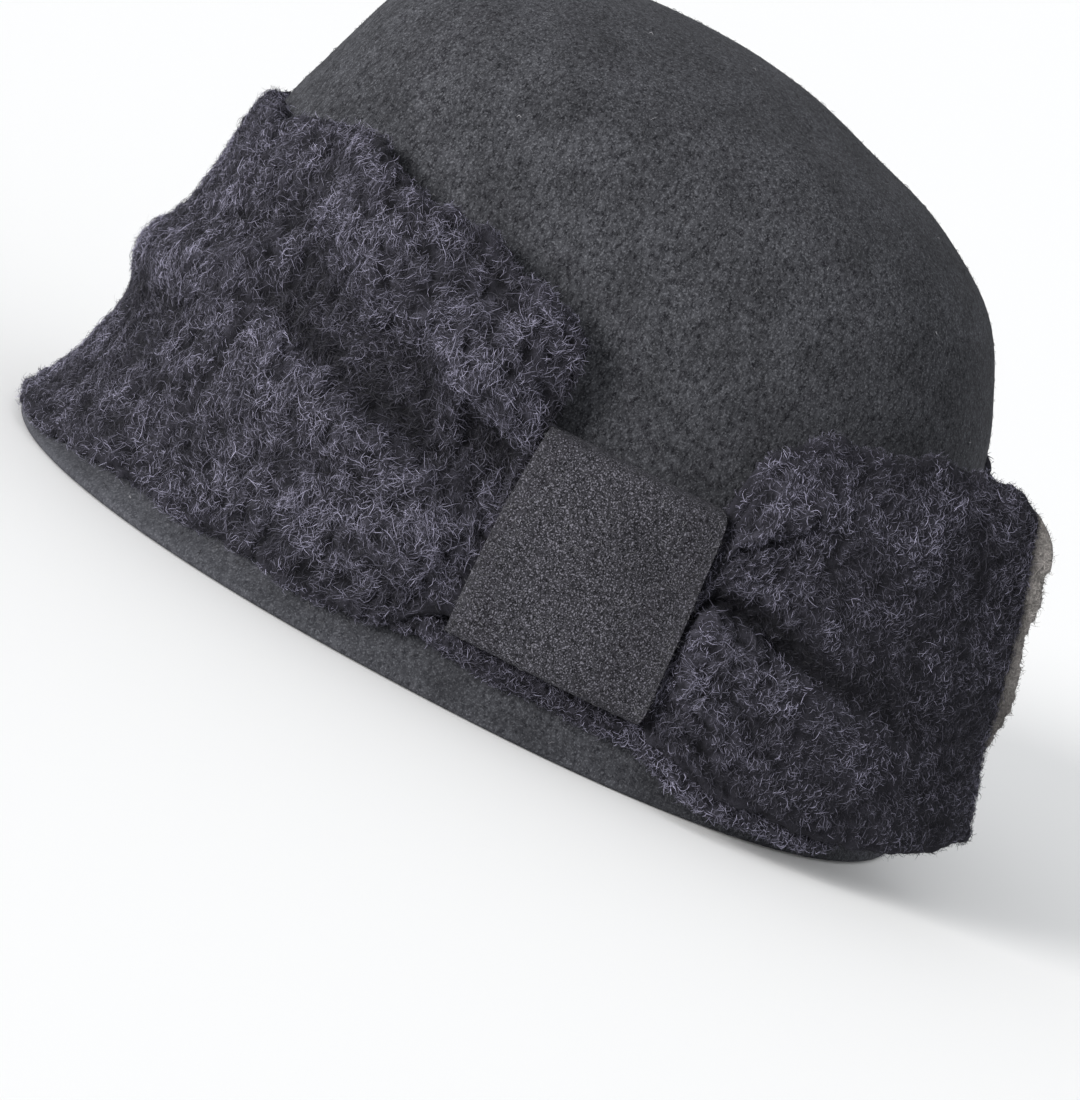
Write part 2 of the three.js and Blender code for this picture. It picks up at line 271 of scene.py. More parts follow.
# %% [markdown]
# ## The block that the felt is pressed over
# A hatter's block is an egg in plan, a little fuller at the back, and its side is one long curve
# from brim to tip. The same curve and the same plan as in the solids give every other piece its
# place, because the strip and the loop lie on the felt. A point is named by its turn round the hat
# in degrees, its height above the rim and how far it stands off the felt.

# %% Describe the block
RIM_LENGTH, RIM_WIDTH, HAT_HEIGHT = 0.236, 0.200, 0.152
FELT_WALL = 0.0025
PLAN_POWER = 2.25  # 2 makes the plan an ellipse, and more makes its corners fuller
BACK_FULLNESS = 0.04
RUN_RADIUS = 0.1  # turns a way round the hat into metres of cloth, for the noise
SIDE_CURVE = [  # height, reach and lean, as shares of the hat's height, rim and length
    (0.000, 1.000, 0.000), (0.012, 0.988, 0.002), (0.039, 0.951, 0.007), (0.084, 0.916, 0.011),
    (0.181, 0.876, 0.013), (0.295, 0.849, 0.013), (0.452, 0.819, 0.013), (0.620, 0.782, 0.007),
    (0.691, 0.748, 0.003), (0.768, 0.705, -0.005), (0.817, 0.666, -0.019), (0.859, 0.611, -0.040),
    (0.903, 0.530, -0.067), (0.938, 0.417, -0.091), (0.972, 0.291, -0.105), (0.993, 0.143, -0.109),
    (1.000, 0.000, -0.109),
]


def smooth_through(knots, steps):
    """Points of a centripetal spline through the knots, evenly spaced along it."""
    knots = np.array(knots, float)
    knots = np.vstack([2 * knots[0] - knots[1], knots, 2 * knots[-1] - knots[-2]])
    found = []
    for k in range(1, len(knots) - 2):
        a, b, c, d = knots[k - 1:k + 3]
        gaps = [np.linalg.norm(q - p) ** 0.5 for p, q in ((a, b), (b, c), (c, d))]
        start = ((b - a) / gaps[0] - (c - a) / (gaps[0] + gaps[1]) + (c - b) / gaps[1]) * gaps[1]
        end = ((c - b) / gaps[1] - (d - b) / (gaps[1] + gaps[2]) + (d - c) / gaps[2]) * gaps[1]
        t = np.linspace(0, 1, 60, endpoint=k == len(knots) - 3)[:, None]
        found.append(b + start * t + (3 * (c - b) - 2 * start - end) * t ** 2
                     + (2 * (b - c) + start + end) * t ** 3)
    found = np.vstack(found)
    run = np.concatenate([[0], np.cumsum(np.linalg.norm(np.diff(found, axis=0), axis=1))])
    even = np.linspace(0, run[-1], steps + 1)
    return np.stack([np.interp(even, run, found[:, k]) for k in range(3)], 1)


side_curve = smooth_through(SIDE_CURVE, 1200)
side_curve[:, 0] = np.clip(side_curve[:, 0], 0.0, 1.0)


def on_felt(turn, height, off=0.0):
    """A point at a turn and height that stands off the felt's outer face."""
    share = np.clip(height / HAT_HEIGHT, 0.0, 1.0)
    reach = np.interp(share, side_curve[:, 0], side_curve[:, 1])
    lean = np.interp(share, side_curve[:, 0], side_curve[:, 2])
    angle = np.radians(turn)
    across, along = np.cos(angle), np.sin(angle)
    radius = (np.abs(across) ** PLAN_POWER + np.abs(along) ** PLAN_POWER) ** (-1 / PLAN_POWER)
    half_width = (reach * RIM_WIDTH / 2 + off) * (1 + BACK_FULLNESS * along)
    half_length = reach * RIM_LENGTH / 2 + off
    x = half_width * radius * across
    y = half_length * radius * along + lean * RIM_LENGTH / 2
    return np.stack(np.broadcast_arrays(x, y, height), -1) + HAT_MIDDLE


print("rim at the left:", on_felt(np.array(0.0), np.array(0.0)).round(4))

# %% [markdown]
# ## The felt body
# Blocked felt keeps a little of the waviness of the steamed wool, and its cut rim is rounded by
# wear. The outer face follows the block, the inner face lies one wall further in, and a half round
# joins them at the rim, so the hat rests on a soft edge and its hollow stays open.

# %% Shape the felt body
FELT_COLUMNS, FELT_ROWS, RIM_ROWS = 210, 82, 9
LONG_WAVE, SHORT_WAVE, WAVE_HIGH = 0.022, 0.009, 0.00022
half_wall = FELT_WALL / 2
lowest_row = np.searchsorted(side_curve[:, 0], half_wall * 1.6 / HAT_HEIGHT)
crown_steps = np.linspace(0, 1, FELT_ROWS) ** 1.12  # a little closer near the rim
crown_run = np.interp(lowest_row + crown_steps * (len(side_curve) - 2 - lowest_row),
                      np.arange(len(side_curve)), side_curve[:, 0]) * HAT_HEIGHT
felt_turns = np.linspace(0, 360, FELT_COLUMNS, endpoint=False)

turn_grid, height_grid = np.meshgrid(felt_turns, crown_run)
outer_felt = on_felt(turn_grid, height_grid)
outward = outward_normals(outer_felt, HAT_MIDDLE)
angle_grid = np.radians(turn_grid)
ring_x, ring_y = RUN_RADIUS * np.cos(angle_grid), RUN_RADIUS * np.sin(angle_grid)
wave = swell(ring_x + 1, ring_y + height_grid + 1, LONG_WAVE, 11)
wave += 0.5 * swell(ring_x + 2, ring_y - height_grid + 2, SHORT_WAVE, 12)
wave *= ease((HAT_HEIGHT - height_grid) / 0.01) * ease(height_grid / 0.006)
outer_felt = outer_felt + outward * (wave * WAVE_HIGH)[..., None]
middle_felt = outer_felt - outward * half_wall
inner_felt = outer_felt - outward * FELT_WALL
print("the felt's waves reach", round(float(np.abs(wave).max()) * WAVE_HIGH * 1000, 2), "mm")

# %% [markdown]
# ## The rim and the tip of the crown
# A cut felt edge wears round, so a half round under the rim turns from the inner face to the outer
# one. Each face ends at the crown's tip in a fan of triangles. The brim is painted paler near the
# rim, most of all at the front, as painted light for the light that falls on it from the front and
# below.

# %% Round the rim and close the crown
rim_turn = np.linspace(0, math.pi, RIM_ROWS + 2)[1:-1][::-1]
round_the_rim = unit(np.roll(outer_felt[0], -1, 0) - np.roll(outer_felt[0], 1, 0))
downward = unit(np.cross(outward[0], round_the_rim))
downward *= -np.sign(downward[:, 2:3])
rim_rows = [middle_felt[0] + half_wall * (outward[0] * math.cos(a) + downward * math.sin(a))
            for a in rim_turn]
felt_rows = np.concatenate([inner_felt[::-1], np.array(rim_rows), outer_felt])
felt_rows[:, :, 2] -= felt_rows[:, :, 2].min()
rows_all = len(felt_rows)
tips = np.array([felt_rows[0].mean(0), felt_rows[-1].mean(0)])
felt_points = np.vstack([felt_rows.reshape(-1, 3), tips])
ring = np.arange(FELT_COLUMNS)
next_on_ring = (ring + 1) % FELT_COLUMNS
last_ring = (rows_all - 1) * FELT_COLUMNS
inner_tip = np.stack([next_on_ring, ring, np.full(FELT_COLUMNS, rows_all * FELT_COLUMNS)], 1)
outer_tip = np.stack([last_ring + ring, last_ring + next_on_ring,
                      np.full(FELT_COLUMNS, rows_all * FELT_COLUMNS + 1)], 1)
felt_faces = grid_faces(rows_all, FELT_COLUMNS, close_columns=True)
felt_piece = make_piece("felt_crown_and_brim", felt_points, [felt_faces, inner_tip, outer_tip])

# Painted light: a paler colour near the rim, strongest at the front, stands for light from the front
# and below.
BRIM_LIGHT_FROM, BRIM_LIGHT_FADE = 0.004, 0.018
near_rim = 1 - ease((felt_points[:, 2] - BRIM_LIGHT_FROM) / BRIM_LIGHT_FADE)
towards_front = np.clip((HAT_MIDDLE[1] - felt_points[:, 1]) / (RIM_LENGTH / 2), 0, 1)
mark(felt_piece, "painted_light_and_shade", near_rim * (0.05 + 0.15 * towards_front))

# %% [markdown]
# ## The course of the wool strip
# The strip starts under its own tail, goes once round the back, the far side and the front, narrows
# into the loop and opens again as the tail, which stands off the crown. A short table says at a few
# turns how wide it is and how far it stands off. Edges are shares of the strip's width above its
# lowest line, and a stand-off is a share of the tail's.

# %% Write down the strip's course
STRIP_WIDTH, STRIP_THICK = 0.090, 0.0035
STRIP_FROM, STRIP_TO = -320.0, 62.0
LOWER_EDGE, TAIL_STAND, PILE_SEAT = 0.006, 0.024, 0.0008
LOOP_FROM, LOOP_TO = -1.0, 22.0
LOOP_LOW, LOOP_TALL, LOOP_DEEP, LOOP_WALL, CLEARANCE = 0.016, 0.049, 0.011, 0.0018, 0.0004
COURSE = np.array([  # turn, low edge, high edge, stand-off, slant in degrees, how much it is gathered
    (STRIP_FROM, 0.18, 0.70, 0.00, 0, 0), (-300, 0.10, 0.80, 0.00, 0, 0),
    (-270, 0.02, 0.88, 0.00, 0, 0), (-225, -0.02, 0.94, 0.00, 0, 0),
    (-180, 0.00, 0.98, 0.00, 0, 0), (-135, -0.02, 0.99, 0.00, 0, 0),
    (-90, -0.03, 0.93, 0.00, 0, 0), (-63, -0.02, 0.95, 0.00, 0, 0),
    (-45, 0.014, 1.02, 0.00, 0, 0), (-36, 0.022, 1.03, 0.02, 0, 0),
    (-27, 0.024, 1.00, 0.03, 0, 0), (-19, 0.026, 0.99, 0.05, 0, 0),
    (-12, 0.034, 0.96, 0.07, -1, 0), (-7, 0.046, 0.92, 0.09, -3, 0),
    (-3.4, 0.07, 0.85, 0.10, -5, 0), (LOOP_FROM - 0.6, 0.10, 0.66, 0.10, 0, 1),
    (LOOP_TO + 0.6, 0.10, 0.70, 0.12, 0, 1), (LOOP_TO + 2.6, 0.08, 0.80, 0.20, 0, 0),
    (29, 0.05, 0.89, 0.29, 0, 0), (34, 0.035, 0.95, 0.39, 0, 0),
    (41, 0.035, 0.98, 0.54, 1, 0), (47, 0.05, 0.985, 0.68, 2, 0),
    (54, 0.08, 0.99, 0.85, 5, 0), (STRIP_TO, 0.125, 0.975, 1.00, 9, 0),
])
print("the course has", len(COURSE), "rows, from turn", STRIP_FROM, "to", STRIP_TO)

# %% [markdown]
# ## The folds
# Soft folds run into the loop from both sides, because the cloth is gathered there. On the tail the
# lower half laps over the upper half and leaves a deep tuck. Each fold is one row: where it starts,
# where it ends and how high its crest is, in thicknesses of the cloth.

# %% Write down the folds
FOLDS = [  # from turn and level, to turn and level, crest, reach below it and above it
    # The lower lap of the front panel, the puffed mound above it and the hollow between them
    (-4, 0.36, -50, 0.48, 1.35, 0.30, 0.055), (-5, 0.75, -42, 0.86, 2.20, 0.13, 0.70),
    (-10, 0.74, -30, 0.82, 0.55, 0.10, 0.16), (-46, 0.88, -68, 0.78, 0.90, 0.13, 0.30),
    (-3, 0.17, -30, 0.15, 0.55, 0.08, 0.08), (-42, 0.61, -98, 0.47, 1.60, 0.10, 0.11),
    # Short gathers that run out of the loop
    (-3, 0.28, -13, 0.22, 0.60, 0.04, 0.05), (-3, 0.57, -11, 0.60, -1.20, 0.06, 0.04),
    (23, 0.74, 33, 0.84, 0.60, 0.04, 0.05), (23, 0.22, 33, 0.10, 0.50, 0.05, 0.05),
    # The tail's tuck, with the lower lobe over the upper one
    (23, 0.44, 50, 0.26, 1.15, 0.25, 0.030), (23, 0.505, 38, 0.388, -1.20, 0.022, 0.045),
    (24, 0.86, 48, 0.80, 0.95, 0.18, 0.16),
    # Slack on the far side and the back
    (-130, 0.62, -215, 0.40, 0.60, 0.10, 0.22), (-205, 0.72, -285, 0.50, 0.55, 0.10, 0.20),
    (-100, 0.30, -160, 0.22, 0.40, 0.10, 0.12),
]
print("the strip has", len(FOLDS), "folds")

# %% [markdown]
# ## Reading the course and the folds
# The rows of the course are joined by a curve that never overshoots them, so that the cloth doesn't
# bulge between two rows. A fold fades in and out along its line, and falls off to each side of it.

# %% Join the rows and add up the folds
def course(column, turn):
    """One column of the course at any turn, on a curve that doesn't overshoot its rows."""
    places, values = COURSE[:, 0], COURSE[:, column]
    slopes = np.diff(values) / np.diff(places)
    product = slopes[:-1] * slopes[1:]
    total = np.where(product > 0, slopes[:-1] + slopes[1:], 1.0)
    tangents = np.concatenate([[0], np.where(product > 0, 2 * product / total, 0.0), [0]])
    k = np.clip(np.searchsorted(places, turn, side="right") - 1, 0, len(places) - 2)
    step = places[k + 1] - places[k]
    t = np.clip((turn - places[k]) / step, 0, 1)
    rise = (t ** 3 - 2 * t ** 2 + t) * tangents[k] + (t ** 3 - t ** 2) * tangents[k + 1]
    return values[k] + (values[k + 1] - values[k]) * ease(t) + rise * step


def fold_lift(turn, level):
    """How far the folds lift the strip."""
    lift = np.zeros(np.broadcast(turn, level).shape)
    for start, start_level, end, end_level, crest, below, above in FOLDS:
        along = (turn - start) / (end - start)
        fade = ease((along + 0.12) / 0.24) * ease((1.25 - along) / 0.5)
        across = level - (start_level + (end_level - start_level) * np.clip(along, 0, 1))
        side = np.where(across < 0, below, above)
        lift = lift + crest * STRIP_THICK * fade * np.exp(-(across / side) ** 2)
    return lift


front_share = course(2, -90.0) - course(1, -90.0)
print("the strip is", round(float(STRIP_WIDTH * front_share), 4), "m tall at the front")

# %% [markdown]
# ## The wool strip's section
# The strip is a flat length of cloth, so its section is a long flat loop: up the front face, round
# the top edge, down the back and round the lower edge. Laying such a section at many turns gives a
# closed cloth with real thickness. A cloth simulation would give soft folds too, but not these
# folds, so they are listed one by one.

# %% Draw the strip's section
FRONT_ROWS, EDGE_ROWS, BACK_ROWS = 112, 7, 26
END_ROUND = 0.9
rounded_end = END_ROUND * (1 - np.cos(np.linspace(0, math.pi / 2, 7)))
turn_stations = np.concatenate([
    STRIP_FROM + rounded_end, np.arange(STRIP_FROM + END_ROUND + 0.9, -96.0, 1.2),
    np.arange(-96.0, STRIP_TO - END_ROUND - 0.2, 0.45), STRIP_TO - rounded_end[::-1]])


def end_thickness(turn):
    """The strip's thickness as a share: full, and rounded off at both cut ends."""
    near = np.clip(np.minimum(turn - STRIP_FROM, STRIP_TO - turn) / END_ROUND, 0, 1)
    return np.maximum(np.sqrt(1 - (1 - near) ** 2), 0.06)


edge_turns = np.linspace(0, math.pi, EDGE_ROWS + 2)[1:-1]
# Each point of the section: its level, how far it is over to the back and how far past the edge
section_level = np.concatenate([np.linspace(0, 1, FRONT_ROWS), np.ones(EDGE_ROWS),
                                np.linspace(1, 0, BACK_ROWS), np.zeros(EDGE_ROWS)])
section_over = np.concatenate([np.ones(FRONT_ROWS), np.cos(edge_turns),
                               -np.ones(BACK_ROWS), -np.cos(edge_turns)])
section_past = np.concatenate([np.zeros(FRONT_ROWS), np.sin(edge_turns),
                               np.zeros(BACK_ROWS), -np.sin(edge_turns)])
is_back = section_over < -0.999
print(len(turn_stations), "stations of", len(section_level), "points")

# %% [markdown]
# ## Laying the strip round the hat
# At each turn the section gets its height and its stand-off from the course and the folds. Cut
# edges of wool never run straight, so they get waves of two lengths, and the outer thirds of a
# gathered cloth ruffle. Inside the loop the section is squeezed to what the loop leaves free.

# %% Lay the strip round the hat
RUFFLE_LONG, RUFFLE_HIGH = 0.011, 0.0017
CREASE_LONG, CREASE_HIGH = 0.014, 0.0011
LOOP_PLAY = 0.0004


def strip_surface(turn, level=section_level, over=section_over, past=section_past):
    """Points of the strip's section at each turn, before its tufts."""
    t, level = turn[:, None], level[None, :]
    over, past = over[None, :], past[None, :]
    gather = course(5, t)
    arc = np.radians(t) * RUN_RADIUS
    # The cloth ruffles most near its edges, and less on the far side than by the loop
    near_edge = ease((np.abs(level - 0.5) - 0.26) / 0.22)
    slack = 0.35 + 0.65 * ease((t + 95) / 30)
    ruffle = swell(arc, level * 0.09 + 0.5, RUFFLE_LONG, 21) * near_edge * slack
    crease = swell(arc, level * 0.03, CREASE_LONG, 22)
    low = LOWER_EDGE + course(1, t) * STRIP_WIDTH
    high = LOWER_EDGE + course(2, t) * STRIP_WIDTH
    long_wave = 0.0022 * swell(arc, 0 * arc + 0.3, 0.013, 23)
    short_wave = 0.0012 * swell(arc, 0 * arc, 0.0045, 24)
    high = high + long_wave + short_wave
    low = low + 0.0007 * swell(arc, 0 * arc + 0.7, 0.008, 25)
    # The tail's upper corner is rounded off
    rounding = 1 - np.sqrt(1 - 0.9 * np.clip((t - STRIP_TO + 5.5) / 5.5, 0, 1) ** 2)
    high = high - 0.0065 * rounding
    # Where it is gathered, the cloth fills the loop from wall to wall
    loop_low = LOOP_LOW + LOOP_WALL + CLEARANCE
    loop_high = LOOP_LOW + LOOP_TALL - LOOP_WALL - CLEARANCE
    low = low + (loop_low - low) * gather
    high = high + (loop_high - high) * gather
    free_back = PILE_SEAT + course(3, t) * TAIL_STAND
    free_back = free_back + fold_lift(t, level) + RUFFLE_HIGH * ruffle + CREASE_HIGH * crease
    free_back = np.maximum(PILE_SEAT, free_back)
    back = free_back + (LOOP_WALL + 2 * CLEARANCE - free_back) * gather
    face = free_back + STRIP_THICK
    face = face + (LOOP_DEEP - LOOP_WALL - CLEARANCE - LOOP_PLAY - face) * gather
    middle = (face + back) / 2
    half = (face - back) / 2 * end_thickness(t)
    edge = np.minimum(half, STRIP_THICK * 0.8)
    height = low + edge + (high - low - 2 * edge) * level + past * edge
    place = t + course(4, t) * (0.5 - level)
    return on_felt(place, height, middle + over * half)


strip_base = strip_surface(turn_stations)
strip_normals = grid_normals(strip_base)
outside_way = (strip_base - HAT_MIDDLE)[:, :FRONT_ROWS, :2]
strip_normals *= np.sign((strip_normals[:, :FRONT_ROWS, :2] * outside_way).sum(-1).mean())

station_gaps = np.linalg.norm(np.diff(strip_base[:, FRONT_ROWS // 2], axis=0), axis=1)
station_run = np.concatenate([[0], np.cumsum(station_gaps)])
section_gaps = np.linalg.norm(np.diff(strip_base[::40], axis=1), axis=2).mean(0)
section_run = np.concatenate([[0], np.cumsum(section_gaps)])
run_grid, across_grid = np.meshgrid(station_run, section_run, indexing="ij")
print("the strip is", round(float(station_run[-1]), 3), "m long")

# %% [markdown]
# ## Tufts
# Boiled curly wool draws together into round tufts, small ones on top of larger ones. The pile is
# only on the front. It is pressed flat inside the loop, and the tail is brushed smoother than the
# rest.

# %% Push the tufts out of the cloth
TUFT_SIZE, TUFT_HEIGHT = 0.0027, 0.0024
SMOOTH_TUFT = 0.42
tuft_grid = 0.72 * tufts(across_grid, run_grid, TUFT_SIZE, 31)
tuft_grid += 0.45 * tufts(across_grid, run_grid, TUFT_SIZE * 2.1, 32)
smoother = 0.6 * ease((turn_stations - 24) / 18)[:, None]
tuft_grid += (SMOOTH_TUFT - tuft_grid) * smoother
push = np.where(is_back[None, :], 0.15, 1.0) * TUFT_HEIGHT
push = push * (1 - 0.85 * course(5, turn_stations)[:, None])
strip_points = strip_base + strip_normals * (push * (tuft_grid - 0.45))[..., None]
section_count = len(section_level)
strip_faces = tube_faces(len(turn_stations), section_count, other_way=True)
strip_piece = make_piece("curly_wool_strip", strip_points.reshape(-1, 3), strip_faces)

# %% [markdown]
# ## Painted light on the crests, painted shade in the hollows
# The wool is painted paler on the crests of its folds and darker in their hollows, as painted light
# and shade, and its ground is painted paler on the tufts than in the gaps between them. How much
# higher a point lies than the cloth around it says which of them it is on. The reverse of the cloth
# has no pile and shows its paler knitted ground, so its faces get a finish of their own.

# %% Find the crests, the hollows and the reverse
CREST_HEIGHT = 0.0020
turn_here, level_here = turn_stations[:, None], section_level[None, :]
lift_here = fold_lift(turn_here, level_here)
lift_around = sum(fold_lift(turn_here + turn_off, level_here + level_off)
                  for turn_off in (-4, 0, 4) for level_off in (-0.09, -0.04, 0.04, 0.09)) / 12
# Painted light and shade: points higher than the cloth around them are painted paler, lower ones
# darker.
painted_fold_light = np.clip(1.0 + (lift_here - lift_around) / CREST_HEIGHT, 0.18, 1.3)
# Painted light and shade: the ground is paler on tuft tops and crests, darker in the gaps and hollows.
mark(strip_piece, "painted_light_and_shade", np.clip(tuft_grid - 0.15, 0, 1) * 0.75 * painted_fold_light)
face_column = np.concatenate([np.arange(len(strip_faces[0])) % section_count, [0, 0]])
face_is_back = is_back[face_column] & is_back[(face_column + 1) % section_count]
strip_piece.data.polygons.foreach_set("material_index", face_is_back.astype(np.int32))
print(int(face_is_back.sum()), "of", len(face_is_back), "faces are on the reverse")

# %% [markdown]
# ## The layer under the strip's lower edge
# The cloth is doubled, and a narrow edge of its inner layer looks out under the loop and along the
# tail, with a dark gap above it. It is a flat roll that follows the lower edge.

# %% Tuck the inner layer under the edge
ROLL_SIDES = 28
ROLL_FROM, ROLL_TO = -10.0, 47.0
ROLL_HEIGHT, ROLL_OFF = 0.0127, 0.0034  # under the loop; on the tail it follows the strip
roll_turns = np.arange(ROLL_FROM, ROLL_TO + 0.1, 0.6)
on_tail = ease((roll_turns - 21.0) / 8.0)
tail_low = LOWER_EDGE + course(1, roll_turns) * STRIP_WIDTH
tail_back = PILE_SEAT + course(3, roll_turns) * TAIL_STAND + fold_lift(roll_turns, np.array(0.02))
roll_height = ROLL_HEIGHT + (tail_low - 0.0013 - ROLL_HEIGHT) * on_tail
# It swells a little where the strip's edge rises into the loop
roll_height += 0.0018 * np.exp(-((roll_turns + 3.3) / 1.6) ** 2)
roll_off = ROLL_OFF + (np.maximum(tail_back - 0.0004, 0.0026) - ROLL_OFF) * on_tail
from_ends = np.minimum((roll_turns - ROLL_FROM) / 5.0, (ROLL_TO - roll_turns) / 14.0)
roll_end = np.sqrt(np.clip(from_ends, 0, 1))
roll_tall = (0.0026 + 0.0007 * on_tail) * roll_end + 0.00002
roll_deep = (0.0016 + 0.0006 * on_tail) * roll_end + 0.00002
roll_angle = np.linspace(0, 2 * math.pi, ROLL_SIDES, endpoint=False)[None, :]
roll_arc = np.radians(roll_turns) * RUN_RADIUS
roll_wave = 0.0005 * swell(roll_arc, 0 * roll_turns, 0.006, 41)[:, None]
roll_base = on_felt(roll_turns[:, None],
                    roll_height[:, None] + roll_wave + roll_tall[:, None] * np.sin(roll_angle),
                    roll_off[:, None] + roll_deep[:, None] * np.cos(roll_angle))
roll_normals = outward_normals(roll_base, roll_base.mean(1, keepdims=True))
roll_girth = np.linspace(0, 0.014, ROLL_SIDES)
roll_run, roll_across = np.meshgrid(roll_arc, roll_girth, indexing="ij")
roll_tufts = tufts(roll_across, roll_run, 0.0018, 42)
roll_points = roll_base + roll_normals * (roll_end[:, None] * 0.0011 * (roll_tufts - 0.4))[..., None]
roll_faces = tube_faces(len(roll_turns), ROLL_SIDES, other_way=True)
roll_piece = make_piece("inner_layer_edge", roll_points.reshape(-1, 3), roll_faces)
# Painted light and shade: the inner layer is paler on its tufts and darker between them.
mark(roll_piece, "painted_light_and_shade", 0.7 * roll_tufts)

# %% [markdown]
# ## The tail's raw end
# The tail is cut and not hemmed. The paler ground of the cloth frays out a few millimetres past the
# dark pile, in small scallops. It is a thin flat edge that continues the middle of the cloth.

# %% Let the raw end fray out
FRAY_LEVELS, FRAY_SIDES = 90, 16
FRAY_FROM, FRAY_TO = 0.24, 1.05
fray_level = np.linspace(FRAY_FROM, FRAY_TO, FRAY_LEVELS)
last_turns = np.array([STRIP_TO - 2.0, STRIP_TO - 1.0])
no_edge = np.zeros(FRAY_LEVELS)
cloth_middle = strip_surface(last_turns, fray_level, np.full(FRAY_LEVELS, -0.35), no_edge)
cloth_face = strip_surface(last_turns, fray_level, np.ones(FRAY_LEVELS), no_edge)
through = unit(cloth_face[1] - cloth_middle[1])
outward_end = unit(unit(cloth_middle[1] - cloth_middle[0]) + 0.75 * through)
fray_height = fray_level * STRIP_WIDTH
scallop = 0.0008 * swell(fray_height, 0 * fray_level, 0.007, 51)
scallop += 0.0005 * swell(fray_height, 0 * fray_level, 0.0025, 52)
fray_long = 0.0058 + 0.0026 * ease((fray_level - 0.70) / 0.2) + scallop
fray_long += 0.0018 * ease((fray_level - 0.86) / 0.1)
from_bottom = ease((fray_level - FRAY_FROM) / 0.2)
from_top = np.sqrt(np.clip((FRAY_TO - fray_level) / 0.08, 0, 1))
fray_long *= 0.35 + 0.65 * np.minimum(from_bottom, from_top)
fray_angle = np.linspace(0, 2 * math.pi, FRAY_SIDES, endpoint=False)
half_long = (fray_long / 2)[:, None]
out_by = half_long * (1 + np.cos(fray_angle))[None, :]
fray_wave = swell(fray_height, 0 * fray_level, 0.006, 53)
up_by = 0.0009 * np.sin(fray_angle)[None, :] + 0.0004 * fray_wave[:, None]
fray_base = (cloth_middle[1][:, None] + outward_end[:, None] * out_by[..., None]
             + through[:, None] * up_by[..., None])
fray_normals = outward_normals(fray_base, fray_base.mean(1, keepdims=True))
fray_across, fray_run = np.meshgrid(np.linspace(0, 0.013, FRAY_SIDES), fray_height)
fray_tufts = tufts(fray_across, fray_run, 0.0016, 54)
fray_points = fray_base + fray_normals * (0.0005 * fray_tufts)[..., None]
fray_piece = make_piece("frayed_tail_end", fray_points.reshape(-1, 3),
                        tube_faces(FRAY_LEVELS, FRAY_SIDES))
mark(fray_piece, "painted_light_and_shade", np.zeros(fray_points.shape[:2]))

# %% [markdown]
# ## The felt loop
# The loop is a flat band of finer felt, closed round the strip like a buckle's keeper. Its section
# is a tall frame with rounded corners, drawn once for its outside and once for its inside.

# %% Draw the loop's section
CORNER = 0.003
POINTS_PER_SIDE, POINTS_PER_CORNER = 26, 8


def rounded_frame(inset):
    """Distance and height of a tall rounded frame, inset from the loop's outside."""
    deep, tall, corner = LOOP_DEEP - 2 * inset, LOOP_TALL - 2 * inset, CORNER - inset
    centres = [(deep - corner, tall - corner), (corner, tall - corner),
               (corner, corner), (deep - corner, corner)]
    outline = []
    for quarter, (x, z) in enumerate(centres):
        angle = np.linspace(0, math.pi / 2, POINTS_PER_CORNER) + quarter * math.pi / 2
        outline.append(np.stack([x + corner * np.cos(angle), z + corner * np.sin(angle)], 1))
        if quarter % 2 == 1:
            side = 0.0 if quarter == 1 else deep
            end = np.array([side, centres[(quarter + 1) % 4][1]])
            share = np.linspace(0, 1, POINTS_PER_SIDE + 2)[1:-1, None]
            outline.append(outline[-1][-1] * (1 - share) + end * share)
    outline = np.concatenate(outline)
    return outline[:, 0] + inset + CLEARANCE, outline[:, 1] + inset + LOOP_LOW


print("the loop's section has", len(rounded_frame(0.0)[0]), "points on each side")

# %% [markdown]
# ## Wrapping the loop
# The section is swept round the crown from one side of the gathers to the other, with its stations
# closer together near the cut edges. The band flares and dents slightly, as cut felt does. Its
# edges are painted a little paler, a faint painted highlight where the folded felt catches the light,
# so the distance to them is written on the mesh for the finish.

# %% Wrap the loop round the gathered strip
LOOP_STATIONS = 60
LOOP_FLARE, DENT_LONG, DENT_DEEP = 0.5, 0.012, 0.00035
loop_steps = (1 - np.cos(np.linspace(0, math.pi, LOOP_STATIONS))) / 2
loop_turns = LOOP_FROM + (LOOP_TO - LOOP_FROM) * loop_steps
loop_arc = np.radians(loop_turns)[:, None] * RUN_RADIUS
loop_across = np.linspace(-1, 1, LOOP_STATIONS)
loop_layers = []
for inset in (0.0, LOOP_WALL):
    distance, height = rounded_frame(inset)
    in_middle = 1 - ((height - LOOP_LOW - LOOP_TALL / 2) / (LOOP_TALL / 2)) ** 2
    to_side = np.sign(loop_across)[:, None] * np.abs(loop_across)[:, None] ** 3
    flare = LOOP_FLARE * in_middle[None, :] * to_side
    dent = DENT_DEEP * swell(height[None, :] + 0 * loop_arc, loop_arc, DENT_LONG, 61)
    loop_layers.append(on_felt(loop_turns[:, None] + flare, height[None, :], distance[None, :] + dent))
outside, inside = loop_layers
loop_count = outside.shape[1]
first_edge = (outside[0] + inside[0]) / 2
last_edge = (outside[-1] + inside[-1]) / 2
loop_grid = np.concatenate([outside, [last_edge], inside[::-1], [first_edge]])
loop_grid[LOOP_STATIONS] += (outside[-1] - outside[-2]) * 0.9
loop_grid[-1] += (outside[0] - outside[1]) * 0.9
loop_faces = grid_faces(len(loop_grid), loop_count, close_rows=True, close_columns=True)
loop_piece = make_piece("flat_felt_loop", loop_grid.reshape(-1, 3), [loop_faces])
side_distance = np.minimum(loop_turns - LOOP_FROM, LOOP_TO - loop_turns) / 0.9
tall_distance = np.minimum(height - LOOP_LOW, LOOP_LOW + LOOP_TALL - height) / 0.0016
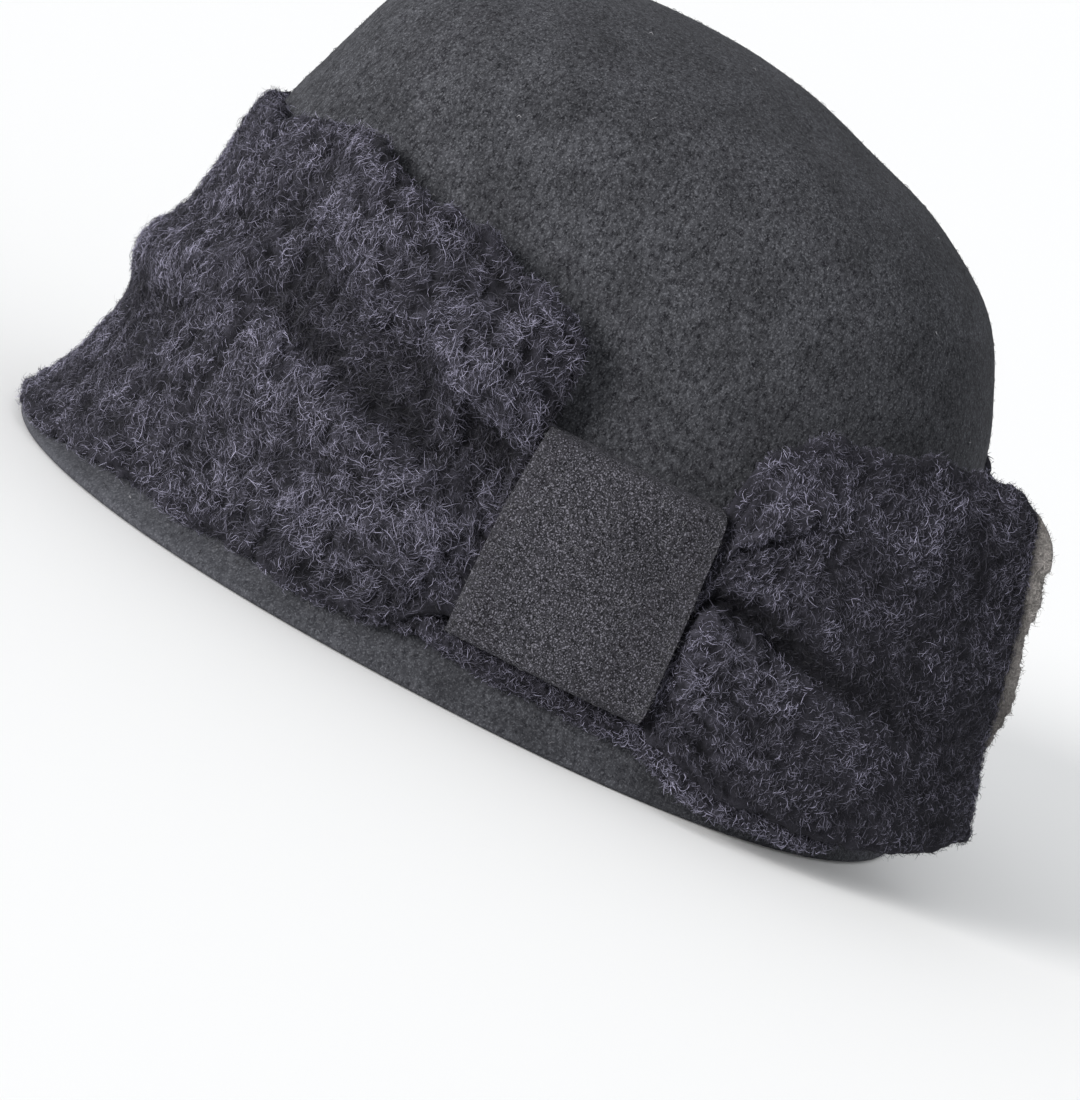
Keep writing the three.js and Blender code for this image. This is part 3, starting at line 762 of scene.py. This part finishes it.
# Painted highlight: the loop is paler near its edges and at its cut ends.
painted_light = np.exp(-np.minimum(side_distance[:, None], tall_distance[None, :]))
edge_painted_light = np.ones((1, loop_count))
loop_painted_light = np.concatenate([painted_light, edge_painted_light, painted_light[::-1], edge_painted_light])
mark(loop_piece, "painted_light_and_shade", loop_painted_light * 0.12)

# %% [markdown]
# ## Loose fibres
# The curls of boiled wool and the nap of felt are single hairs that catch the light. Each one is a
# thin ribbon of a few faces that starts in the cloth, bends, and lies down or stands up. Ribbons are
# much lighter than tubes and look the same at this size. All hairs of a stretch are one mesh, and
# every hair keeps a shade of its own, from dark at its root to pale at its tip.

# %% Write a maker of fibres
WANDER, TILT, TAPER, ROOT_SHADE = 0.25, 0.9, 0.75, 0.5  # a hair's wobble, turn, thinning and root


def make_fibres(name, batches, rng):
    """One mesh of curled ribbons. Each batch is a dictionary of its roots, directions and looks."""
    all_points, all_faces, all_shades = [], [], []
    first_vertex = 0
    for batch in batches:
        roots, normals, segments = batch["roots"], unit(batch["normals"]), batch["segments"]
        count = len(roots)
        forward = batch["forward"]
        forward = unit(forward - normals * (forward * normals).sum(-1, keepdims=True))
        sideways = np.cross(normals, forward)
        steps = np.linspace(0, 1, segments + 1)[None, :]
        hair_length = rng.uniform(*batch["length"], (count, 1))
        curl = rng.uniform(*batch["bend"], (count, 1)) * rng.choice([-1, 1], (count, 1))
        wander = WANDER * np.sin(steps * 5 + rng.uniform(0, 6, (count, 1)))
        angle = batch["heading"][:, None] + curl * (steps - 0.5) + wander
        stride = hair_length / segments
        flat_x = np.cumsum(np.cos(angle), 1) * stride
        flat_y = np.cumsum(np.sin(angle), 1) * stride
        top = rng.uniform(*batch["lift"], (count, 1))
        lying = top * np.sin(math.pi * (steps * 0.9 + 0.05))
        upright = rng.random((count, 1)) < batch["standing"]
        rise = np.where(upright, top * 2.0 * steps ** 0.8, lying)
        centre = (roots[:, None] + forward[:, None] * (flat_x - flat_x[:, :1])[..., None]
                  + sideways[:, None] * (flat_y - flat_y[:, :1])[..., None]
                  + normals[:, None] * rise[..., None])
        along = unit(np.gradient(centre, axis=1))
        tipped = unit(normals + TILT * rng.normal(size=(count, 3)))
        across = unit(np.cross(along, tipped[:, None]))
        thick = rng.uniform(0.7, 1.2, (count, 1)) * batch["width"] * (1 - TAPER * steps ** 2)
        left = centre - across * (thick / 2)[..., None]
        right = centre + across * (thick / 2)[..., None]
        all_points.append(np.stack([left, right], 2).reshape(-1, 3))
        first = first_vertex + (np.arange(count) * (segments + 1) * 2)[:, None]
        step = (np.arange(segments) * 2)[None, :]
        corners = [first + step, first + step + 1, first + step + 3, first + step + 2]
        all_faces.append(np.stack(corners, -1).reshape(-1, 4))
        shade = batch["shade"][:, None] * (ROOT_SHADE + (1 - ROOT_SHADE) * steps)
        all_shades.append(np.repeat(shade[..., None], 2, 2).ravel())
        first_vertex += count * (segments + 1) * 2
    piece = make_piece(name, np.concatenate(all_points), all_faces)
    mark(piece, "hair_shade", np.concatenate(all_shades))
    return piece


print("a ribbon of 2 segments has 4 triangles, and one of 4 segments has 8")

# %% [markdown]
# ## Where the fibres stand
# A fibre can stand anywhere on a grid of points, also between them. Places are drawn at random, and
# a grid of chances thins them where fewer should stand.

# %% Write a picker of places
def pick_on_grid(points, normals, rng, count, rows, columns, keep, grids=()):
    """Random places on part of a grid: points, normals, forward direction and other grids there."""
    tries = count * 5
    row = rng.uniform(rows[0], rows[1] - 1.001, tries)
    column = rng.uniform(columns[0], columns[1] - 1.001, tries)
    stay = rng.random(tries) < keep[row.astype(int), column.astype(int)]
    row, column = row[stay][:count], column[stay][:count]
    r, c = row.astype(int), column.astype(int)
    u, v = (row - r)[:, None], (column - c)[:, None]
    width = points.shape[1]

    def blend(values):
        near = values[r, c] * (1 - v) + values[r, (c + 1) % width] * v
        far = values[r + 1, c] * (1 - v) + values[r + 1, (c + 1) % width] * v
        return near * (1 - u) + far * u

    forward = points[r + 1, c] - points[r, c]
    return [blend(points), blend(normals), forward] + [grid[r, c] for grid in grids]


print("the strip's grid has", strip_points.shape[0] * strip_points.shape[1], "points to stand between")

# %% [markdown]
# ## Wool curls on the strip
# Most curls are short and stay on their own tuft, which leaves the gaps between the tufts dark, and
# the curls that do stand there are painted darker as painted shade. One in fifteen is longer and
# reaches the next tuft. Neighbouring curls lean the same way, as if the wool was rubbed while it was
# boiled. The stretches that are seen closest get the most hairs, and the back and the far side get
# fewer and wider ones.

# %% Grow the curls
def station_at(turn):
    """The station nearest to a turn."""
    return int(np.searchsorted(turn_stations, turn))


FRONT_SPAN = (0, FRONT_ROWS)
TOP_EDGE_SPAN = (FRONT_ROWS - 1, FRONT_ROWS + EDGE_ROWS)
BACK_SPAN = (FRONT_ROWS + EDGE_ROWS, FRONT_ROWS + EDGE_ROWS + BACK_ROWS)
LOW_EDGE_SPAN = (section_count - EDGE_ROWS - 1, section_count)
STRETCHES = {  # turns, curls on the front, on each edge and on the back, and a hair's width
    "front": ((-96.0, -42.0), 32000, 1500, 0, 0.000105),
    "loop_side": ((-42.0, LOOP_FROM - 0.7), 32000, 1500, 0, 0.000105),
    "tail": ((LOOP_TO + 0.7, STRIP_TO), 31000, 1300, 3000, 0.000105),
    "far": ((-215.0, -96.0), 14000, 700, 0, 0.00021),
    "back": ((STRIP_FROM, -215.0), 12500, 600, 0, 0.00021),
}
CURL_SHADES = (0.72, 2.0)  # far more dark curls than pale ones
keep_hair = np.clip(2.3 * tuft_grid - 0.5, 0.02, 1)  # on the tufts, hardly ever between them
whirl_grid = 1.5 * swell(across_grid, run_grid, 0.012, 33)
whirl_grid += 0.9 * swell(across_grid, run_grid, 0.0035, 34)
patch_grid = 1.0 + 0.6 * swell(across_grid, run_grid, 0.006, 35)


def wool_batch(rng, rows, span, count, length, bend, lift, width, segments, standing, brightness):
    """Curls for one part of the strip."""
    picked = pick_on_grid(strip_points, strip_normals, rng, count, rows, span, keep_hair,
                          (tuft_grid, whirl_grid, painted_fold_light * patch_grid))
    roots, normals, forward, tuft_here, whirl, patches_and_painted_light = picked
    found = len(roots)
    # Painted light and shade: curls on tufts and fold crests are paler, those in the gaps and hollows
    # darker; the patches are random tone.
    shade = rng.beta(*CURL_SHADES, found) * (0.06 + 1.8 * tuft_here) * patches_and_painted_light * brightness
    shade = np.clip(shade, 0, 1)
    heading = math.pi / 2 * rng.choice([-1, 1], found) + whirl + rng.normal(0, 0.75, found)
    return {"roots": roots, "normals": normals, "forward": forward, "heading": heading, "shade": shade,
            "length": length, "bend": bend, "lift": lift, "width": width, "segments": segments,
            "standing": standing}


wool_curls = []
for number, (stretch, (turns, on_front, on_edge, on_back, width)) in enumerate(STRETCHES.items()):
    rng = np.random.default_rng(100 + number)
    rows = (station_at(turns[0]), min(station_at(turns[1]), len(turn_stations) - 1))
    short, long = (0.0008, 0.0027), (0.0027, 0.0052)
    low_edge_light = 1.4
    if stretch == "tail":
        short, long = (0.0006, 0.0020), (0.0020, 0.0040)
        # Painted shade: the curls on the tail's lower edge are darker, for the shaded gap above the
        # inner layer.
        low_edge_light = 0.4
    kinds = [  # where, how many, length, bend, lift, width, segments, share upright, lightness
        (FRONT_SPAN, on_front, short, (0.0, 1.1), (0.0001, 0.0007), width, 2, 0.10, 1.0),
        (FRONT_SPAN, on_front // 14, long, (0.2, 1.8), (0.0003, 0.001), width, 4, 0.1, 1.0),
        (TOP_EDGE_SPAN, on_edge, short, (0.2, 2.6), (0.0001, 0.0008), width, 2, 0.25, 1.1),
        (LOW_EDGE_SPAN, on_edge, short, (0.2, 2.6), (0.0001, 0.0008), width, 2, 0.25, low_edge_light),
    ]
    if on_back:
        kinds.append((BACK_SPAN, on_back, (0.0012, 0.0032), (0.2, 2.0), (0.0001, 0.0006),
                      0.00018, 2, 0.15, 1.3))
    batches = [wool_batch(rng, rows, *kind) for kind in kinds]
    wool_curls.append(make_fibres("wool_curls_" + stretch, batches, rng))

# %% [markdown]
# ## Fluff
# The inner layer and the raw end are fluffy too. Their hairs spread evenly over the whole piece, and
# the loose ones of the pale ground are lighter than any wool round them.

# %% Fluff up the inner layer and the raw end
def fluff(name, seed, batches):
    """One mesh of short hairs spread evenly over grids, also where their cells get small.

    A batch is a grid of points and its directions, how many hairs, their length, lift and width,
    a maker of shades and the share that stands upright.
    """
    rng = np.random.default_rng(seed)
    ready = []
    for points, normals, count, length, lift, width, shade, standing in batches:
        cell = np.linalg.norm(np.roll(points, -1, 1) - points, axis=2)
        cell[:, -1] = cell[:, -2]
        roots, normals_here, forward = pick_on_grid(
            points, normals, rng, count, (0, len(points)), (0, points.shape[1]), cell / cell.max())
        heading = rng.uniform(0, 2 * math.pi, len(roots))
        ready.append({"roots": roots, "normals": normals_here, "forward": forward, "heading": heading,
                      "shade": shade(rng, len(roots)), "length": length, "bend": (0.2, 2.4),
                      "lift": lift, "width": width, "segments": 2, "standing": standing})
    return make_fibres(name, ready, rng)


def spread(dark, pale):
    """Shades between dark and pale, nearer to the end that has the smaller number."""
    return lambda rng, count: rng.beta(dark, pale, count)


tail_from = int(np.searchsorted(roll_turns, LOOP_TO - 1.0))
# Painted shade: under the loop the fluff is darker, where the loop shades it, and along the tail
# paler.
roll_fluff = fluff("inner_layer_fluff", 150, [
    (roll_points[:tail_from], roll_normals[:tail_from], 4000, (0.0008, 0.0022), (0.0001, 0.0007),
     0.00013, spread(0.9, 2.2), 0.2),
    (roll_points[tail_from:], roll_normals[tail_from:], 4000, (0.0008, 0.0024), (0.0001, 0.0007),
     0.00014, spread(1.0, 1.3), 0.2)])
fray_fluff = fluff("frayed_end_fluff", 151, [
    (fray_points, fray_normals, 3200, (0.0008, 0.0022), (0.0001, 0.0006), 0.00013,
     spread(1.6, 1.6), 0.25)])

# %% [markdown]
# ## Nap on the felt
# Pressed felt is almost closed, but a short nap still softens its outline against the light. A few
# paler specks of lint cling to it, as they do on any dark felt.

# %% Raise the nap
def nap_shade(rng, count):
    """Mostly dark hairs, and a rare pale one."""
    return np.where(rng.random(count) < 0.006, 1.0, 0.55 * rng.beta(1.5, 3.0, count))


def lint_shade(rng, count):
    """Lint is as pale as hair gets."""
    return np.ones(count)


outer_rows = felt_rows[len(inner_felt) + RIM_ROWS + 1:]
felt_nap = fluff("felt_nap", 200, [
    (outer_rows, outward[1:], 11500, (0.0008, 0.002), (0.00005, 0.0004), 0.0001, nap_shade, 0.1),
    (outer_rows, outward[1:], 30, (0.0006, 0.0014), (0.0002, 0.0005), 0.00028, lint_shade, 0.0)])
# The loop's felt is brushed, so more of its hairs catch the light
loop_normals = outward_normals(outside, outside.mean(1, keepdims=True))
loop_nap = fluff("loop_nap", 201, [
    (outside, loop_normals, 4500, (0.0005, 0.0015), (0.00004, 0.00022), 0.00009,
     spread(0.9, 2.2), 0.05)])

# %% [markdown]
# ## Finishes shared by felt and wool
# Felt, boiled wool and their loose hairs all have the same kind of colour: a dark dye that took
# unevenly, with cloudy patches and fine light and dark grains. Two node groups hold that, so it is
# built once and each finish only sets its own colours and sizes. Short helpers wire them up.

# %% Write the helpers for nodes
def feed(tree, node, feeds):
    """Fills a node's inputs. A socket is wired to its input, and anything else is its value."""
    for key, value in feeds.items():
        if isinstance(value, bpy.types.NodeSocket):
            tree.links.new(value, node.inputs[key])
        else:
            node.inputs[key].default_value = value


def add(tree, kind, feeds, **settings):
    """A node with its settings and its inputs."""
    node = tree.nodes.new(kind)
    for key, value in settings.items():
        setattr(node, key, value)
    feed(tree, node, feeds)
    return node


def new_group(name, inputs, outputs):
    """A node group with named sockets. A number makes a plain socket and a tuple a coloured one."""
    group = bpy.data.node_groups.new(name, "ShaderNodeTree")
    for way, sockets in (("INPUT", inputs), ("OUTPUT", outputs)):
        for label, value in sockets.items():
            kind = "NodeSocketColor" if isinstance(value, tuple) else "NodeSocketFloat"
            group.interface.new_socket(label, in_out=way, socket_type=kind).default_value = value
    return group, group.nodes.new("NodeGroupInput").outputs, group.nodes.new("NodeGroupOutput")


def work_out(tree, operation, *values, **settings):
    """The result of a sum of numbers or sockets."""
    node = add(tree, "ShaderNodeMath", dict(enumerate(values)), operation=operation, **settings)
    return node.outputs["Value"]


def noise(tree, where, scale, detail, roughness):
    """Cloudy noise at a place, with so many clouds to the metre."""
    feeds = {"Vector": where, "Scale": scale, "Detail": detail, "Roughness": roughness}
    return add(tree, "ShaderNodeTexNoise", feeds).outputs["Fac"]


def stretch_range(tree, value, low, high):
    """The value again, with low as 0 and high as 1."""
    feeds = {"Value": value, "From Min": low, "From Max": high}
    return add(tree, "ShaderNodeMapRange", feeds).outputs["Result"]


print("node groups so far:", len(bpy.data.node_groups))

# %% [markdown]
# ## The grain of felt
# Fine noise, drawn out a little along the height as brushed felt is, gives light and dark grains.
# Coarser flecks break its evenness, and slow patches stand for the cloudy dye.

# %% Build the grain group
grain_group, given, result = new_group(
    "felt_grain",
    {"Grain Size": 0.001, "Patch Size": 0.02, "Stretch": 0.6, "Contrast": 2.5, "Fleck Share": 0.4},
    {"Grain": 0.0, "Patches": 0.0, "Height": 0.0})
where = add(grain_group, "ShaderNodeTexCoord", {}).outputs["Object"]
stretched = add(grain_group, "ShaderNodeCombineXYZ", {"X": 1.0, "Y": 1.0, "Z": given["Stretch"]})
combed = add(grain_group, "ShaderNodeVectorMath", {0: where, 1: stretched.outputs["Vector"]},
             operation="MULTIPLY")
fine_scale = work_out(grain_group, "DIVIDE", 1.0, given["Grain Size"])
fleck_scale = work_out(grain_group, "MULTIPLY", fine_scale, 2.5)
patch_scale = work_out(grain_group, "DIVIDE", 1.0, given["Patch Size"])
fine = noise(grain_group, combed.outputs["Vector"], fine_scale, 4.0, 0.85)
flecks = noise(grain_group, where, fleck_scale, 1.0, 0.5)
patches = noise(grain_group, where, patch_scale, 4.0, 0.6)
from_middle = work_out(grain_group, "SUBTRACT", fine, 0.5)
sharp = work_out(grain_group, "MULTIPLY_ADD", from_middle, given["Contrast"], 0.5, use_clamp=True)
pale_flecks = stretch_range(grain_group, flecks, 0.54, 0.70)
all_grain = add(grain_group, "ShaderNodeMix", {0: given["Fleck Share"], 2: sharp, 3: pale_flecks},
                data_type="FLOAT")
feed(grain_group, result, {"Grain": all_grain.outputs[0], "Height": fine,
                           "Patches": stretch_range(grain_group, patches, 0.35, 0.65)})
print("grain group has", len(grain_group.nodes), "nodes")

# %% [markdown]
# ## The dye
# The dye is dark where the grain is low and paler where it is high. Patches darken it further, and
# a piece's painted light takes it towards a paler painted light colour, where that piece marks it.

# %% Build the dye group
dye_and_light_group, given, result = new_group(
    "uneven_dye_and_painted_light",
    {"Dark": (0.02, 0.02, 0.02, 1), "Pale": (0.1, 0.1, 0.1, 1), "Painted Light Colour": (0.15, 0.15, 0.15, 1),
     "Grain": 0.5, "Patches": 0.5, "Patch Strength": 0.3, "Painted Light Amount": 0.0},
    {"Color": (0.0, 0.0, 0.0, 1)})
tinted = add(dye_and_light_group, "ShaderNodeMix", {0: given["Grain"], 6: given["Dark"], 7: given["Pale"]},
             data_type="RGBA")
darkest = work_out(dye_and_light_group, "SUBTRACT", 1.0, given["Patch Strength"])
cloud = add(dye_and_light_group, "ShaderNodeMapRange", {"Value": given["Patches"], "To Min": darkest})
shaded = add(dye_and_light_group, "ShaderNodeVectorMath",
             {0: tinted.outputs[2], "Scale": cloud.outputs["Result"]}, operation="SCALE")
with_painted_light = add(dye_and_light_group, "ShaderNodeMix",
             {0: given["Painted Light Amount"], 6: shaded.outputs["Vector"], 7: given["Painted Light Colour"]}, data_type="RGBA")
feed(dye_and_light_group, result, {"Color": with_painted_light.outputs[2]})
print("dye group has", len(dye_and_light_group.nodes), "nodes")

# %% [markdown]
# ## The finishes
# Each finish is one matt cloth shader. Its colour comes from the shared groups, and a bump from the
# same grain makes the light break on it. A little sheen stands for the nap that is too fine to
# model. A cloth has a dark, a pale and a painted light colour, and a hair a dark and a pale one.

# %% Mix the finishes
def new_finish(name, attribute):
    """An empty finish: its node tree, its shader and the number that a piece is marked with."""
    material = bpy.data.materials.new(name)
    material.use_nodes = True
    tree = material.node_tree
    read = add(tree, "ShaderNodeAttribute", {}, attribute_name=attribute).outputs["Fac"]
    return material, tree, tree.nodes["Principled BSDF"], read


def cloth_finish(name, dark, pale, painted_light, grain_size, contrast, patch_size, patch_strength, bump,
                 stretch=0.6, fleck_share=0.4):
    """A matt cloth with an uneven dye, painted light and shade from its piece's marks, and a grain
    that catches the light.
    """
    material, tree, surface, painted_amount = new_finish(name, "painted_light_and_shade")
    grain = add(tree, "ShaderNodeGroup",
                {"Grain Size": grain_size, "Patch Size": patch_size, "Stretch": stretch,
                 "Contrast": contrast, "Fleck Share": fleck_share}, node_tree=grain_group).outputs
    dye = add(tree, "ShaderNodeGroup",
              {"Dark": (*dark, 1), "Pale": (*pale, 1), "Painted Light Colour": (*painted_light, 1), "Grain": grain["Grain"],
               "Patches": grain["Patches"], "Patch Strength": patch_strength, "Painted Light Amount": painted_amount},
              node_tree=dye_and_light_group)
    relief = add(tree, "ShaderNodeBump",
                 {"Strength": 1.0, "Distance": bump, "Height": grain["Height"]})
    feed(tree, surface, {
        "Roughness": 0.95, "Specular IOR Level": 0.12, "Sheen Weight": 0.02, "Sheen Roughness": 0.55,
        "Sheen Tint": (0.85, 0.87, 1.0, 1), "Base Color": dye.outputs["Color"],
        "Normal": relief.outputs["Normal"]})
    return material


def hair_finish(name, dark, pale):
    """Single hairs: each one lies between a dark and a pale colour by its own shade."""
    material, tree, surface, shade = new_finish(name, "hair_shade")
    grain = add(tree, "ShaderNodeGroup", {"Patch Size": 0.012}, node_tree=grain_group).outputs
    dye = add(tree, "ShaderNodeGroup",
              {"Dark": (*dark, 1), "Pale": (*pale, 1), "Grain": shade, "Patches": grain["Patches"],
               "Patch Strength": 0.25}, node_tree=dye_and_light_group)
    feed(tree, surface, {"Roughness": 0.7, "Specular IOR Level": 0.25,
                         "Base Color": dye.outputs["Color"]})
    return material


# The third colour of a cloth is painted light: the paler brim on the felt, a faint highlight on the
# loop's edges, the paler tufts and crests on the wool.
crown_felt = cloth_finish(
    "charcoal_crown_felt", (0.006, 0.006, 0.008), (0.112, 0.115, 0.128), (0.15, 0.155, 0.18),
    grain_size=0.0012, contrast=3.4, patch_size=0.014, patch_strength=0.34, bump=0.0002,
    fleck_share=0.5)
loop_felt = cloth_finish(
    "fine_loop_felt", (0.004, 0.004, 0.005), (0.166, 0.162, 0.190), (0.09, 0.088, 0.1),
    grain_size=0.0009, contrast=5.0, patch_size=0.02, patch_strength=0.2, bump=0.0002,
    stretch=1.0, fleck_share=0.8)
wool_ground = cloth_finish(
    "dark_wool_ground", (0.001, 0.001, 0.0014), (0.016, 0.0155, 0.021), (0.05, 0.048, 0.063),
    grain_size=0.0008, contrast=3.0, patch_size=0.02, patch_strength=0.3, bump=0.0006, stretch=1.0)
# The knitted ground is paler than the pile, and its colour is set paler still as painted light, for
# light shining through the thin frayed end.
knit_ground = cloth_finish(
    "pale_knit_ground", (0.15, 0.14, 0.135), (0.42, 0.39, 0.375), (0.3, 0.3, 0.3),
    grain_size=0.0016, contrast=4.0, patch_size=0.008, patch_strength=0.5, bump=0.001, stretch=1.0)
wool_hair = hair_finish("blue_black_wool_hair", (0.003, 0.003, 0.0045), (0.41, 0.395, 0.53))
# Painted light: the loose knit hairs are set paler too, for light shining through the frayed end.
knit_hair = hair_finish("pale_knit_hair", (0.1, 0.095, 0.09), (0.42, 0.4, 0.38))
felt_hair = hair_finish("charcoal_felt_hair", (0.006, 0.006, 0.008), (0.30, 0.30, 0.32))
print("finishes:", [m.name for m in bpy.data.materials])

# %% [markdown]
# ## Putting the hat together
# Nothing on the hat is jointed, so every piece rides on its one body. Each belongs to one solid, and
# three of them stand in for the solids.

# %% Give every piece its finish, its slot and its place
finishes = [(felt_piece, crown_felt), (loop_piece, loop_felt), (roll_piece, wool_ground),
            (fray_piece, knit_ground), (roll_fluff, wool_hair), (fray_fluff, knit_hair),
            (felt_nap, felt_hair), (loop_nap, felt_hair), (strip_piece, wool_ground),
            (strip_piece, knit_ground)] + [(piece, wool_hair) for piece in wool_curls]
for piece, finish in finishes:
    piece.data.materials.append(finish)

slots = {"body_felt": [felt_piece, felt_nap], "loop_felt": [loop_piece, loop_nap],
         "strip_wool": [strip_piece, roll_piece, fray_piece, roll_fluff, fray_fluff] + wool_curls}
for slot, pieces in slots.items():
    for piece in pieces:
        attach(piece, "root")
    print(slot, "has", len(pieces), "pieces")
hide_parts("felt_body")
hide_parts("wool_strip")
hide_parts("felt_loop")
